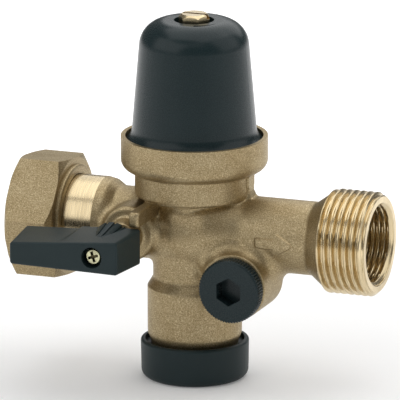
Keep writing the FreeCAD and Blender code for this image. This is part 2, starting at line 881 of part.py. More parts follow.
def strainer():
    """Slotted sleeve between the guide insert and the web."""
    low = run_height - guide_shoulder
    high = run_height + web_low
    sleeve = turned_z([
        (strainer_r - strainer_wall, low),
        (strainer_r, low),
        (strainer_r, high),
        (strainer_r - strainer_wall, high),
    ])
    spacing = (high - low) / strainer_rows
    slots = []
    for row in range(strainer_rows):
        middle = low + spacing * (row + 0.5)
        for column in range(strainer_columns // 2):
            slot = box((-2 * strainer_r, 2 * strainer_r),
                       (-strainer_slot_width / 2, strainer_slot_width / 2),
                       (middle - strainer_slot_height / 2, middle + strainer_slot_height / 2))
            slot.rotate(Vector(0, 0, 0), Z_AXIS, 360 / strainer_columns * (column + 0.5))
            slots.append(slot)
    return sleeve.cut(slots)


def bottom_cap():
    """Plastic cap on the barrel's spigot, with a recessed rim."""
    recess_floor = cap_height - cap_recess_depth
    thread_r = spigot_r + fit_gap
    return turned_z([
        (0, 0),
        (cap_base_r, 0, cap_edge_round),
        (cap_r, cap_height, cap_rim_round),
        (cap_recess_r, cap_height),
        (cap_recess_r, recess_floor),
        (thread_r, recess_floor),
        (thread_r, cap_floor),
        (0, cap_floor),
    ])


def gauge_plug():
    """Plastic plug with a round head, a hexagon socket and a seal groove."""
    z = run_height - gauge_drop
    back = gauge_front - fit_gap
    front = back - plug_head
    groove_low = plug_seal_r - seal_r - fit_gap
    groove_high = plug_seal_r + seal_r + fit_gap
    plug = turned_y([
        (front, 0),
        (front, plug_face_r),
        (front + plug_chamfer, plug_r),
        (back, plug_r, cap_rim_round / 2),
        (back, groove_high),
        (back - 2 * seal_r, groove_high),
        (back - 2 * seal_r, groove_low),
        (back, groove_low),
        (back, gauge_thread_r),
        (back + plug_shank, gauge_thread_r, barrel_chamfer),
        (back + plug_shank, 0),
    ], gauge_x, z)
    socket = hex_corners(socket_flats, 90.0)
    socket = slab_y(socket, front - overcut, front + socket_depth)
    return plug.cut(moved(socket, gauge_x, 0, z))


def gauge_plug_o_ring():
    """Seal between the gauge plug and its boss."""
    centre = Vector(gauge_x, gauge_front - seal_r, run_height - gauge_drop)
    return ring_seal(plug_seal_r, seal_r - fit_gap, centre, Y_AXIS)


def union_nut():
    """Hexagonal nut with chamfered ends and a web that bears on the wire ring."""
    corner_r = nut_flats / math.sqrt(3)
    face_r = corner_r - nut_end_chamfer
    collar_r = housing_r + nut_collar_width
    points = hex_corners(nut_flats, nut_corner_angle)
    corners = [Vector(nut_open_end, -u, run_height + v) for u, v in points]
    hexagon = Part.Face(Part.makePolygon(corners + corners[:1])).extrude(X_AXIS * nut_hex_length)
    slope = nut_end_chamfer * math.tan(math.radians(30))
    rounding = turned_x([
        (nut_open_end, 0),
        (nut_open_end, face_r),
        (nut_open_end + slope, corner_r),
        (nut_hex_end - slope, corner_r),
        (nut_hex_end, face_r),
        (nut_hex_end, 0),
    ])
    collar = turned_x([
        (nut_hex_end - overcut, 0),
        (nut_hex_end - overcut, collar_r),
        (nut_hex_end + nut_collar, collar_r, nut_collar / 2),
        (nut_hex_end + nut_collar, 0),
    ])
    web_face = nut_hex_end + nut_collar - nut_web
    hole = turned_x([
        (nut_open_end - overcut, 0),
        (nut_open_end - overcut, nut_bore_r + thread_chamfer),
        (nut_open_end, nut_bore_r + thread_chamfer),
        (nut_open_end + thread_chamfer, nut_bore_r),
        (nut_open_end + nut_thread_length, nut_bore_r),
        (nut_open_end + nut_thread_length, nut_bore_r + nut_relief),
        (web_face, nut_bore_r + nut_relief),
        (web_face, housing_r + swivel_gap),
        (nut_hex_end + nut_collar + overcut, housing_r + swivel_gap),
        (nut_hex_end + nut_collar + overcut, 0),
    ])
    return hexagon.common(rounding).fuse(collar).cut(hole).removeSplitter()


def nut_retaining_ring():
    """Open wire ring in the neck's groove, which keeps the union nut on."""
    centre = Vector(neck_end + 2 * wire_r + fit_gap, 0, run_height)
    ring = Part.makeTorus(housing_r + wire_proud - wire_r, wire_r, centre, X_AXIS)
    gap = box((centre.x - overcut, centre.x + overcut), (-wire_r, wire_r),
              (run_height - nut_flats, run_height))
    return ring.cut(gap)


def union_washer():
    """Flat seal between the inlet neck and the pipe."""
    right = neck_end - fit_gap
    return turned_x([
        (right - washer_thickness, washer_bore_r),
        (right - washer_thickness, nut_bore_r - fit_gap),
        (right, nut_bore_r - fit_gap),
        (right, washer_bore_r),
    ])


def shutoff_ball():
    """Ball with a through bore along the run and a slot for the stem."""
    centre = Vector(stem_x, 0, run_height)
    ball = Part.makeSphere(ball_r, centre)
    bore = rod(ball_port_r, centre - X_AXIS * (2 * ball_r), X_AXIS, 4 * ball_r)
    slot_half = stem_tang_width / 2 + fit_gap
    slot = box((stem_x - 2 * ball_r, stem_x + 2 * ball_r), (-2 * ball_r, stem_tang_depth - ball_r + fit_gap),
               (run_height - slot_half, run_height + slot_half))
    return ball.cut([bore, slot])


def ball_seat(side):
    """Plastic seat ring on one side of the ball."""
    back = stem_x + side * seat_ring_reach
    front = back - side * seat_ring_length
    corners = [(front, ball_port_r), (front, ball_cavity_r - fit_gap),
               (back, ball_cavity_r - fit_gap), (back, ball_port_r)]
    ring = turned_x(corners)
    return ring.cut(Part.makeSphere(ball_r + running_gap, Vector(stem_x, 0, run_height)))


def inlet_ball_seat():
    """Seat ring between the retainer and the ball."""
    return ball_seat(-1)


def outlet_ball_seat():
    """Seat ring between the ball and the casting."""
    return ball_seat(1)


def ball_retainer():
    """Threaded ring that holds the ball and its seats, with two key slots."""
    right = stem_x - seat_ring_reach
    left = right - retainer_length
    ring = turned_x([
        (left, ball_port_r),
        (left, ball_cavity_r - fit_gap, barrel_chamfer / 2),
        (right, ball_cavity_r - fit_gap),
        (right, ball_port_r),
    ])
    slot = box((left - overcut, left + stem_tang_depth), (-2 * ball_cavity_r, 2 * ball_cavity_r),
               (run_height - stem_tang_width / 2, run_height + stem_tang_width / 2))
    return ring.cut(slot)


def ball_stem():
    """Stem with a tang for the ball, a blow-out collar, a seal groove and a square end."""
    collar_low = -ball_cavity_r
    collar_high = collar_low - stem_collar
    groove_r = stem_r + running_gap - 2 * stem_seal_r
    groove_a = stem_seal_y + stem_seal_r + fit_gap
    groove_b = stem_seal_y - stem_seal_r - fit_gap
    square_start = gland_front - overcut
    shaft = turned_y([
        (collar_low, 0),
        (collar_low, stem_collar_r),
        (collar_high, stem_collar_r),
        (collar_high, stem_r),
        (groove_a, stem_r),
        (groove_a, groove_r),
        (groove_b, groove_r),
        (groove_b, stem_r),
        (square_start, stem_r),
        (square_start, 0),
    ], stem_x, run_height)
    tang = box((stem_x - stem_r, stem_x + stem_r), (collar_low, stem_tang_depth - ball_r),
               (run_height - stem_tang_width / 2, run_height + stem_tang_width / 2))
    half = stem_square / 2
    square = box((stem_x - half, stem_x + half), (stem_front, square_start + overcut / 2),
                 (run_height - half, run_height + half))
    square = square.common(rod(stem_r, Vector(stem_x, 0, run_height), -Y_AXIS, -stem_front))
    screw_hole = rod(screw_shank_r, Vector(stem_x, stem_front - overcut, run_height), Y_AXIS, screw_length)
    return shaft.fuse([tang, square]).cut(screw_hole).removeSplitter()


def stem_o_ring():
    """Seal of the stem in its boss."""
    centre = Vector(stem_x, stem_seal_y, run_height)
    return ring_seal(stem_r + running_gap - stem_seal_r, stem_seal_r - fit_gap, centre, Y_AXIS)


def lever_section(y, share, shrink):
    """Outline of the lever at a place on Y, as a closed wire.

    The share is 0 at the front face and 1 at the back edge, where the draft and the
    raised land are full. The outline is drawn in by a wall thickness.
    """
    tip = lever_tip - share * lever_tip_draft + shrink
    hub_end = lever_hub_end + share * lever_end_draft - shrink
    low = -lever_bottom - share * lever_bottom_draft + shrink
    tip_low = -lever_tip_bottom - share * lever_bottom_draft + shrink
    high = lever_top - shrink
    tip_high = lever_tip_top + share * lever_top_draft - shrink
    slope = (high - share * land_rise - tip_high) / (hub_end - tip)
    foot = tip_high + slope * (land_start - tip)
    crest = foot + slope * land_ramp + share * land_rise
    radius = max(lever_round - shrink, lever_round / 4)
    outline = [(tip, tip_low, radius), (hub_end, low, radius), (hub_end, high, radius),
               (land_start + land_ramp, crest), (land_start, foot), (tip, tip_high, radius)]
    return face_through(outline, lambda p: Vector(p.x, y, run_height + p.y)).OuterWire


def grooved_hub():
    """Cone that rises from the lever's top side to its back edge, with grooves along it."""
    hub = Part.makeCone(hub_front_r, hub_r, hub_length,
                        Vector(stem_x, lever_back - hub_length, run_height), Y_AXIS)
    hub = hub.common(box((stem_x - hub_r, stem_x + hub_r), (lever_front, lever_back),
                         (run_height, run_height + hub_r)))
    grooves = []
    for index in range(hub_groove_count):
        step = index - (hub_groove_count - 1) / 2
        angle = math.radians(hub_groove_middle + hub_groove_spread * step)
        outward = Vector(math.cos(angle), 0, math.sin(angle))
        start = Vector(stem_x, lever_back, run_height) + outward * hub_r
        along = outward * (hub_front_r - hub_r) - Y_AXIS * hub_length
        grooves.append(rod(hub_groove_r, start, along, along.Length))
    return hub.cut(grooves)


def lever_handle():
    """Hollow tapered plastic lever, open at the back, with a grooved hub round the stem."""
    front = lever_section(lever_front, 0, 0)
    back = lever_section(lever_back, 1, 0)
    bar = Part.makeLoft([front, back], True, True)
    inner_front = lever_section(lever_front + lever_face, lever_face / lever_depth, lever_wall)
    inner_back = lever_section(lever_back + overcut, 1, lever_wall)
    hollow = Part.makeLoft([inner_front, inner_back], True, True)
    hub_core = rod(hub_core_r, Vector(stem_x, lever_front, run_height), Y_AXIS, lever_depth)
    handle = bar.fuse(grooved_hub()).cut(hollow).fuse(hub_core.common(bar))
    half = stem_square / 2 + fit_gap
    pocket = box((stem_x - half, stem_x + half), (stem_front - fit_gap, lever_back + overcut),
                 (run_height - half, run_height + half))
    stem_centre = Vector(stem_x, lever_front, run_height)
    recess = rod(screw_recess_r, stem_centre - Y_AXIS * overcut, Y_AXIS, screw_recess_depth + overcut)
    hole = rod(screw_shank_r + fit_gap, stem_centre, Y_AXIS, lever_depth / 2)
    return handle.cut([pocket, recess, hole]).removeSplitter()


def handle_screw():
    """Pan-head screw with a cross recess that holds the lever on the stem."""
    floor = screw_floor - fit_gap
    front = floor - screw_head
    screw = turned_y([
        (front, 0),
        (front, screw_head_r - screw_head / 3),
        (front + screw_head / 2, screw_head_r, screw_head / 3),
        (floor, screw_head_r),
        (floor, screw_shank_r - fit_gap),
        (floor + screw_length, screw_shank_r - fit_gap),
        (floor + screw_length, 0),
    ], stem_x, run_height)
    half = cross_width / 2
    cross_y = (front - overcut, front + cross_depth)
    across = box((-cross_reach, cross_reach), cross_y, (-half, half))
    upright = box((-half, half), cross_y, (-cross_reach, cross_reach))
    cross = across.fuse(upright)
    cross.rotate(Vector(0, 0, 0), Y_AXIS, -cross_angle)
    return screw.cut(moved(cross, stem_x, 0, run_height))


PIECES = [
    valve_body, spring_bonnet, adjusting_screw, upper_spring_plate, adjusting_spring,
    lower_spring_plate, diaphragm, diaphragm_washer, slip_ring, spindle, spindle_nut,
    valve_seat, seat_disc, disc_holder, piston_o_ring, guide_insert, guide_o_ring, strainer,
    bottom_cap, gauge_plug, gauge_plug_o_ring, union_nut, nut_retaining_ring, union_washer,
    shutoff_ball, inlet_ball_seat, outlet_ball_seat, ball_retainer, ball_stem, stem_o_ring,
    lever_handle, handle_screw,
]

for piece in PIECES:
    shape = piece()
    shape.exportStep("parts/" + piece.__name__ + ".step")
    print(piece.__name__, len(shape.Solids), shape.isValid(), round(shape.Volume, 1))
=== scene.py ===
import json
import math

import bmesh
import bpy
from mathutils import Matrix, Vector
from mathutils.kdtree import KDTree


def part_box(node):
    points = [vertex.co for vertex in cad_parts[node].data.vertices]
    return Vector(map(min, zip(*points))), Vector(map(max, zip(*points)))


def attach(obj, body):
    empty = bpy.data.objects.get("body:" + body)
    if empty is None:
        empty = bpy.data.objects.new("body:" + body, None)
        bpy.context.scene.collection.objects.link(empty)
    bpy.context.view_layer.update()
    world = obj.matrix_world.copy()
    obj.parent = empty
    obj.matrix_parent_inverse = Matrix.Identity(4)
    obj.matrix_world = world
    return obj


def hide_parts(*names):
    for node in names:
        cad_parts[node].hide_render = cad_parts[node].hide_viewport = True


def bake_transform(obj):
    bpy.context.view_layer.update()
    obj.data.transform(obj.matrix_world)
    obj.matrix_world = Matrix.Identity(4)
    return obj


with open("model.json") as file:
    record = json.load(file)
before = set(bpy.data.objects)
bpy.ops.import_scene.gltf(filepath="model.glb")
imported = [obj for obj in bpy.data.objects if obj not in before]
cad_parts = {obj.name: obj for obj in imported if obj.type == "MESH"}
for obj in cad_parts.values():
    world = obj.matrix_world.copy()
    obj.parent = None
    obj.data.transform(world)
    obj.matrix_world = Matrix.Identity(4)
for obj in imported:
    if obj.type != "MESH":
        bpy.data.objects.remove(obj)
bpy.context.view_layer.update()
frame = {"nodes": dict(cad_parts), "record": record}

MM = 0.001
mounts = {mount["name"]: mount for mount in frame["record"]["mounts"]}
RUN_HEIGHT = mounts["outlet_outside_thread"]["pos_m"][2]


# Sizes from the frame, in millimetres

def threaded_stretch(name):
    """Radius of a threaded mount, and where its full thread starts and ends along the run."""
    mount = mounts[name]
    middle = mount["pos_m"][0] / MM
    half = mount["dims"]["length_mm"] / 2
    return mount["dims"]["r_mm"], middle - half, middle + half


CREST_R, THREAD_START, CREST_END = threaded_stretch("outlet_outside_thread")
BORE_R, BORE_END, _ = threaded_stretch("outlet_inside_thread")
NUT_BORE_R, _, NUT_THREAD_END = threaded_stretch("inlet_nut_thread")
OUTLET_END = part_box("valve_body")[1].x / MM
CHAMFER = OUTLET_END - CREST_END
NUT_OPEN_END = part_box("union_nut")[0].x / MM
PLUG_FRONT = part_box("gauge_plug")[0].y / MM
CAP_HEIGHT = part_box("bottom_cap")[1].z / MM
RIM_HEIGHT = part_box("valve_body")[1].z / MM

# Other sizes of the solids, in millimetres
FLARE_R = 15.92           # where the flare meets the outlet's thread
NECK_START = -30.5        # where the casting's turned neck starts
ARM_R = 11.75
STEM_X = -16.9
PLUG_X = 19.35
PLUG_DROP = 14.4          # of the plug's axis below the run's
PLUG_BACK = -16.55
PLUG_R = 10.3
PLUG_FACE_R = 9.5
PLUG_BACK_R = 9.85
PLUG_CHAMFER = 0.7
SCREW_RECESS_R = 3.4
SCREW_HEAD_R = 2.9
CROSS_R = 2.0

# Threads
THREAD_PITCH = 2.309      # size 1, 11 threads per inch
THREAD_DEPTH = 1.48
BORE_PITCH = 1.814        # size 3/4, 14 threads per inch
BORE_DEPTH = 1.16
THREAD_FLAT = 0.14        # of half the pitch, flat at the root, and as much at the crest
RUN_OUT_TURNS = 1.2       # over which an inside thread fades out
THREAD_COLUMNS = 120      # points round a thread
CREST_STEPS = 12          # stations in a turn of the outside thread
BORE_STEPS = 10           # stations in a turn of an inside thread
START_STEP = 0.02         # between the flare's rim and the thread's first station
NUT_TURNED_R = 16.84      # within which the nut is turned, up to its thread's end

# How much further than its own surface the search for an old wall or rim goes
WALL_MARGIN = 0.1
END_MARGIN = 0.01
RIM_MARGIN = 0.12

# Knurl of the plug
KNURL_TEETH = 68
KNURL_DEPTH = 0.42
KNURL_POWER = 1.4         # above 1, the ridges are wider than the grooves
KNURL_COLUMNS = 8         # points across a tooth
KNURL_STEP = 0.25
KNURL_BACK_CHAMFER = 0.4

# Rounded edges, with the angles between two faces in radians
ROUND_SEGMENTS = 4
COPLANAR = math.radians(0.5)  # below this angle two faces are joined to one
NUT_EDGE_R = 16.9         # beyond which an edge of the nut is an outer one
NUT_EDGE_ROUND = 0.35
NUT_EDGE_ANGLE = 0.4
LEVER_ROUND = 0.8
LEVER_FRONT_ANGLE = 1.0
LEVER_CORNER_ANGLE = 0.8

# Head of the handle screw
SCREW_DOME = 0.35         # how far the head's edge lies behind its middle
SCREW_DOME_DEPTH = 1.05   # below the head's front, where the dome ends
CROSS_MIN_DEPTH = 0.2     # below the head's front, from which the cross recess is painted dark as shade

# Flow arrow on the arm
ARROW_START = 24.5
ARROW_NECK = 31.9
ARROW_TIP = 37.7
ARROW_SHAFT = 1.4         # half width
ARROW_HEAD = 3.3          # half width
ARROW_POINT = 0.05        # half width
ARROW_PROUD = 0.7
ARROW_DRAFT = 0.9
ARROW_STEP = 0.4
ARROW_COLUMNS = 3         # on each side of its middle line
ARROW_SHARP = 20          # degrees between two faces, above which their edge is sharp

# Softened corners of the casting
SEAM_ANGLE = 14           # degrees between two faces that meet in a corner of the casting
SEAM_REACH = 2.6          # how far from a corner the casting is softened
SEAM_EDGE = 0.55          # longest edge of the mesh near a corner
SEAM_SPACING = 0.3        # of the points that stand for a corner
SEAM_SPLITS = 7           # most rounds of splitting edges
SEAM_PASSES = 14          # rounds of smoothing
SEAM_PULL = 0.6           # how far one round moves a point towards its neighbours' middle

# What isn't the casting's rough outside, with radii a little wider than its bores
RUN_HOLLOW_R = 10.4
BARREL_HOLLOW_R = 10.9
STEM_HOLLOW_R = 4.9
PLUG_HOLLOW_R = 6.4
CHAMBER_HOLLOW = (13.4, 15.9)  # height above the run from which it counts, radius
BOWL_HOLLOW = (21.9, 22.1)
RIM_LAND = 0.4            # below the top of the bowl's rim
TURNED_MARGIN = 0.05      # beside the turned stretches of the run


# Shader nodes

class Finish:
    """A material with a principled shader, and short calls that add nodes to it."""

    def __init__(self, name, colour, metallic, roughness):
        self.material = bpy.data.materials.new(name)
        self.material.use_nodes = True
        self.nodes = self.material.node_tree.nodes
        self.links = self.material.node_tree.links
        self.shader = self.nodes["Principled BSDF"]
        self.shader.inputs["Base Color"].default_value = (*colour, 1)
        self.shader.inputs["Metallic"].default_value = metallic
        self.shader.inputs["Roughness"].default_value = roughness
        self.place = self.nodes.new("ShaderNodeTexCoord").outputs["Object"]

    def join(self, source, target):
        """Link from an output to an input."""
        self.links.new(source, target)

    def noise(self, grain, detail=3.0, stretch=(1, 1, 1)):
        """Noise with features of a size in metres, finer along an axis with a larger stretch."""
        mapping = self.nodes.new("ShaderNodeMapping")
        mapping.inputs["Scale"].default_value = stretch
        self.join(self.place, mapping.inputs["Vector"])
        noise = self.nodes.new("ShaderNodeTexNoise")
        noise.inputs["Scale"].default_value = 1 / grain
        noise.inputs["Detail"].default_value = detail
        self.join(mapping.outputs["Vector"], noise.inputs["Vector"])
        return noise.outputs["Fac"]

    def ramp(self, value, *stops):
        """Colour or grey that follows a value through stops (position, colour)."""
        ramp = self.nodes.new("ShaderNodeValToRGB")
        elements = ramp.color_ramp.elements
        while len(elements) < len(stops):
            elements.new(0.5)
        for element, (position, colour) in zip(elements, stops):
            if isinstance(colour, (int, float)):
                colour = (colour, colour, colour)
            element.position = position
            element.color = (*colour, 1)
        self.join(value, ramp.inputs["Fac"])
        return ramp.outputs["Color"]

    def mixed(self, kind, factor, first, second):
        """Two colours blended by a kind of blend and a factor, each a link or a value."""
        mix = self.nodes.new("ShaderNodeMixRGB")
        mix.blend_type = kind
        for socket, value in zip(("Fac", "Color1", "Color2"), (factor, first, second)):
            if isinstance(value, bpy.types.NodeSocket):
                self.join(value, mix.inputs[socket])
            elif socket == "Fac":
                mix.inputs[socket].default_value = value
            else:
                mix.inputs[socket].default_value = (*value, 1)
        return mix.outputs["Color"]

    def bump(self, height, depth, strength=1.0):
        """Bump of a depth in metres, on top of any bump that was added before."""
        bump = self.nodes.new("ShaderNodeBump")
        bump.inputs["Strength"].default_value = strength
        bump.inputs["Distance"].default_value = depth
        self.join(height, bump.inputs["Height"])
        normal = self.shader.inputs["Normal"]
        if normal.is_linked:
            self.join(normal.links[0].from_socket, bump.inputs["Normal"])
        self.join(bump.outputs["Normal"], normal)

    def colour(self, source):
        """Base colour from a link."""
        self.join(source, self.shader.inputs["Base Color"])

    def roughness(self, source):
        """Roughness from a link."""
        self.join(source, self.shader.inputs["Roughness"])


def cast_brass():
    """Blasted casting: fine bright and dark grains on a dull tan."""
    finish = Finish("cast_brass", (0.36, 0.28, 0.15), 1.0, 0.5)
    grain = finish.noise(0.33 * MM, 2.5)
    cloud = finish.noise(7 * MM, 3.0)
    speckle = finish.ramp(grain, (0.31, (0.28, 0.218, 0.119)), (0.52, (0.4, 0.314, 0.178)),
                          (0.73, (0.64, 0.53, 0.345)))
    tint = finish.ramp(cloud, (0.35, (0.9, 0.88, 0.84)), (0.65, (1.0, 1.0, 1.0)))
    finish.colour(finish.mixed("MULTIPLY", 1.0, speckle, tint))
    finish.roughness(finish.ramp(grain, (0.3, 0.56), (0.7, 0.4)))
    finish.bump(grain, 0.04 * MM, 0.8)
    return finish.material


def turned_brass(name, axis):
    """Bright turned brass with fine tool lines round an axis."""
    finish = Finish(name, (0.83, 0.7, 0.47), 1.0, 0.24)
    stretch = [1.0 if direction == axis else 0.02 for direction in "xyz"]
    lines = finish.noise(0.16 * MM, 2.0, stretch)
    finish.colour(finish.ramp(lines, (0.3, (0.55, 0.44, 0.265)), (0.7, (0.73, 0.6, 0.38))))
    finish.roughness(finish.ramp(lines, (0.3, 0.3), (0.7, 0.2)))
    finish.bump(lines, 0.012 * MM, 0.5)
    return finish.material


def moulded(name, dark, light, roughness, texture, specular=0.5):
    """Moulded plastic with a fine spark-eroded texture."""
    finish = Finish(name, light, 0.0, roughness)
    finish.shader.inputs["Specular IOR Level"].default_value = specular
    fine = finish.noise(0.25 * MM, 2.0)
    cloud = finish.noise(9 * MM, 2.0)
    finish.colour(finish.ramp(cloud, (0.3, dark), (0.7, light)))
    finish.roughness(finish.ramp(fine, (0.3, roughness - 0.04), (0.7, roughness + 0.04)))
    finish.bump(fine, texture, 0.6)
    return finish.material


def plain_metal(name, dark, light, roughness):
    """Turned or drawn metal with a faint grain."""
    finish = Finish(name, light, 1.0, roughness)
    grain = finish.noise(0.2 * MM, 2.0, (1, 1, 0.2))
    finish.colour(finish.ramp(grain, (0.3, dark), (0.7, light)))
    finish.roughness(finish.ramp(grain, (0.3, roughness + 0.06), (0.7, roughness - 0.04)))
    finish.bump(grain, 0.006 * MM, 0.5)
    return finish.material


FINISHES = {
    "cast_brass": cast_brass(),
    "turned_brass": turned_brass("turned_brass_z", "z"),
    "black_plastic": moulded("black_plastic", (0.010, 0.020, 0.022), (0.011, 0.022, 0.024), 0.27,
                             0.006 * MM, 0.24),
    "rubber": moulded("rubber", (0.012, 0.012, 0.012), (0.02, 0.02, 0.02), 0.6, 0.02 * MM),
    "white_plastic": moulded("white_plastic", (0.66, 0.65, 0.6), (0.74, 0.73, 0.69), 0.4, 0.01 * MM),
    "gasket": moulded("gasket", (0.12, 0.04, 0.03), (0.2, 0.07, 0.05), 0.7, 0.04 * MM),
    "stainless_steel": plain_metal("stainless_steel", (0.5, 0.5, 0.49), (0.62, 0.62, 0.61), 0.25),
    "spring_steel": plain_metal("spring_steel", (0.36, 0.36, 0.34), (0.48, 0.48, 0.46), 0.34),
    "plated_ball": plain_metal("plated_ball", (0.66, 0.66, 0.66), (0.74, 0.74, 0.74), 0.12),
    "zinc_plated": plain_metal("zinc_plated", (0.44, 0.42, 0.26), (0.66, 0.64, 0.43), 0.24),
}
TURNED_X = turned_brass("turned_brass_x", "x")
MATT_PLASTIC = moulded("matt_plastic", (0.010, 0.021, 0.023), (0.012, 0.024, 0.026), 0.46,
                       0.02 * MM, 0.25)
# painted shade: dark metal for the inside of the screw's cross recess, where shade falls
PAINTED_RECESS_SHADE = plain_metal("painted_recess_shade", (0.07, 0.06, 0.03), (0.14, 0.12, 0.07), 0.45)


def give_material(piece, material):
    """One material on a whole piece."""
    piece.data.materials.clear()
    piece.data.materials.append(material)


for subpart in frame["record"]["subparts"]:
    give_material(frame["nodes"][subpart["node"]], FINISHES[subpart["material_slot"]])
give_material(frame["nodes"]["bottom_cap"], MATT_PLASTIC)


# Copies of nodes that carry threads, a knurl or rounded edges

class Turned:
    """Points and angles round an axis, all in millimetres."""

    def __init__(self, origin, axis, first):
        self.origin = Vector(origin)
        self.axis = Vector(axis)
        self.first = Vector(first)
        self.second = self.axis.cross(self.first)

    def measure(self, place):
        """Distance along the axis and from the axis of a place in metres."""
        offset = place / MM - self.origin
        along = offset.dot(self.axis)
        return along, (offset - self.axis * along).length

    def place(self, along, radius, angle):
        """Place in metres at a distance along the axis, a radius and an angle."""
        outward = self.first * math.cos(angle) + self.second * math.sin(angle)
        return (self.origin + self.axis * along + outward * radius) * MM


RUN = Turned((0, 0, RUN_HEIGHT / MM), (1, 0, 0), (0, 1, 0))
PLUG = Turned((PLUG_X, 0, RUN_HEIGHT / MM - PLUG_DROP), (0, 1, 0), (0, 0, 1))
STEM = Turned((STEM_X, 0, RUN_HEIGHT / MM), (0, 1, 0), (0, 0, 1))
KEPT_NORMAL = "kept_normal"


def node_mesh(node):
    """Editable copy of a node's mesh with its points joined and its normals kept by corner."""
    data = frame["nodes"][node].data.copy()
    normals = [value for corner in data.corner_normals for value in corner.vector]
    data.attributes.new(KEPT_NORMAL, "FLOAT_VECTOR", "CORNER").data.foreach_set("vector", normals)
    mesh = bmesh.new()
    mesh.from_mesh(data)
    bpy.data.meshes.remove(data)
    bmesh.ops.remove_doubles(mesh, verts=mesh.verts, dist=0.001 * MM)
    return mesh


def keep_normals(data, sharp_angle):
    """Normals of the untouched faces as they were; new faces are smooth up to an angle."""
    kept = data.attributes[KEPT_NORMAL]
    normals = [Vector(corner.vector) for corner in kept.data]
    data.attributes.remove(kept)
    if "custom_normal" in data.attributes:
        data.attributes.remove(data.attributes["custom_normal"])
    data.set_sharp_from_angle(angle=math.radians(sharp_angle))
    data.normals_split_custom_set(normals)


def rim_near(mesh, turned, along, radius):
    """Open edges of a mesh that lie on a circle about an axis."""
    rim = []
    for edge in mesh.edges:
        if not edge.is_boundary:
            continue
        places = [turned.measure(vert.co) for vert in edge.verts]
        if all(abs(a - along) < RIM_MARGIN and abs(r - radius) < RIM_MARGIN for a, r in places):
            rim.append(edge)
    return rim


def add_wall(mesh, turned, stations, radius_at, count):
    """New wall round an axis, one row of points for each station."""
    rows = []
    angles = [2 * math.pi * step / count for step in range(count)]
    for along in stations:
        places = [turned.place(along, radius_at(along, angle), angle) for angle in angles]
        rows.append([mesh.verts.new(place) for place in places])
    for row, following in zip(rows, rows[1:]):
        for step in range(count):
            after = (step + 1) % count
            mesh.faces.new((row[step], row[after], following[after], following[step]))
    return rows


def replace_wall(mesh, turned, is_wall, stations, radius_at, end_radii, count):
    """Round wall of a mesh replaced by one with a finer form and the same two rims.

    The rims lie at the first and last stations and have the two end radii.
    """
    old = [face for face in mesh.faces if is_wall(*turned.measure(face.calc_center_median()))]
    bmesh.ops.delete(mesh, geom=old, context="FACES")
    rims = [rim_near(mesh, turned, along, radius)
            for along, radius in zip((stations[0], stations[-1]), end_radii)]
    rows = add_wall(mesh, turned, stations[1:-1], radius_at, count)
    for rim, row in zip(rims, (rows[0], rows[-1])):
        loop = [mesh.edges.get((row[step], row[(step + 1) % count])) for step in range(count)]
        bmesh.ops.bridge_loops(mesh, edges=rim + loop)


def stations_between(start, end, step):
    """Even stations from start to end, about a step apart."""
    count = max(1, round(abs(end - start) / step))
    return [start + (end - start) * index / count for index in range(count + 1)]


def thread_share(along, angle, pitch):
    """Height of a right-hand thread between its root at 0 and its crest at 1."""
    turn = (along / pitch - angle / (2 * math.pi)) % 1.0
    share = (abs(2 * turn - 1) - THREAD_FLAT) / (1 - 2 * THREAD_FLAT)
    share = min(1.0, max(0.0, share))
    return share * share * (3 - 2 * share)


def outside_thread(along, angle):
    """Radius of the outlet's outside thread, chamfered at the outlet's end."""
    crest = min(CREST_R, CREST_R - CHAMFER + OUTLET_END - along)
    root = CREST_R - THREAD_DEPTH
    radius = root + THREAD_DEPTH * thread_share(along, angle, THREAD_PITCH)
    return min(crest, radius)


def inside_thread(bore_r, depth, pitch, mouth, bottom, chamfer):
    """Radius of a threaded bore with a chamfered mouth, which runs out towards its bottom."""
    def radius_at(along, angle):
        """Radius at a distance along the axis and an angle."""
        run_out = min(1.0, abs(along - bottom) / (RUN_OUT_TURNS * pitch))
        root = bore_r + depth * run_out * (1 - thread_share(along, angle, pitch))
        return max(root, bore_r + chamfer - abs(mouth - along))
    return radius_at


def on_wall(along_low, along_high, radius_low, radius_high):
    """Test for a place between two distances along an axis and two radii."""
    return lambda along, radius: along_low < along < along_high and radius_low < radius < radius_high


def body_of(node):
    """Body that a node belongs to."""
    bodies = frame["record"]["behaviour"]["bodies"]
    return next(body for body, nodes in bodies.items() if node in nodes)


def finished(name, mesh, node, materials, choose, sharp_angle):
    """Object from an edited mesh, with a material chosen for each face."""
    bmesh.ops.recalc_face_normals(mesh, faces=mesh.faces)
    for face in mesh.faces:
        face.material_index = choose(face)
        face.smooth = True
    data = bpy.data.meshes.new(name)
    mesh.to_mesh(data)
    mesh.free()
    keep_normals(data, sharp_angle)
    piece = bpy.data.objects.new(name, data)
    for material in materials:
        data.materials.append(material)
    bpy.context.collection.objects.link(piece)
    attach(piece, body_of(node))
    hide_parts(node)


def stem_distance(place):
    """Distance in millimetres from the stem's axis to a place in metres."""
    return STEM.measure(place)[1]


def is_outside(place):
    """Whether a place on the casting, in metres, is on its rough outside."""
    x, y, z = place / MM
    along, radius = RUN.measure(place)
    across = math.hypot(x, y)
    rise = z - RUN_HEIGHT / MM
    if not NECK_START + TURNED_MARGIN <= along <= THREAD_START - TURNED_MARGIN or radius < RUN_HOLLOW_R:
        return False
    if z < CAP_HEIGHT or z > RIM_HEIGHT - RIM_LAND or across < BARREL_HOLLOW_R:
        return False
    if any(rise > low and across < reach for low, reach in (CHAMBER_HOLLOW, BOWL_HOLLOW)):
        return False
    return stem_distance(place) > STEM_HOLLOW_R and PLUG.measure(place)[1] > PLUG_HOLLOW_R


def corner_edges(mesh):
    """Edges where two surfaces of the casting's outside meet at an angle."""
    least = math.radians(SEAM_ANGLE)
    return [edge for edge in mesh.edges
            if len(edge.link_faces) == 2 and edge.calc_face_angle(0.0) > least
            and all(is_outside(vert.co) for vert in edge.verts)]


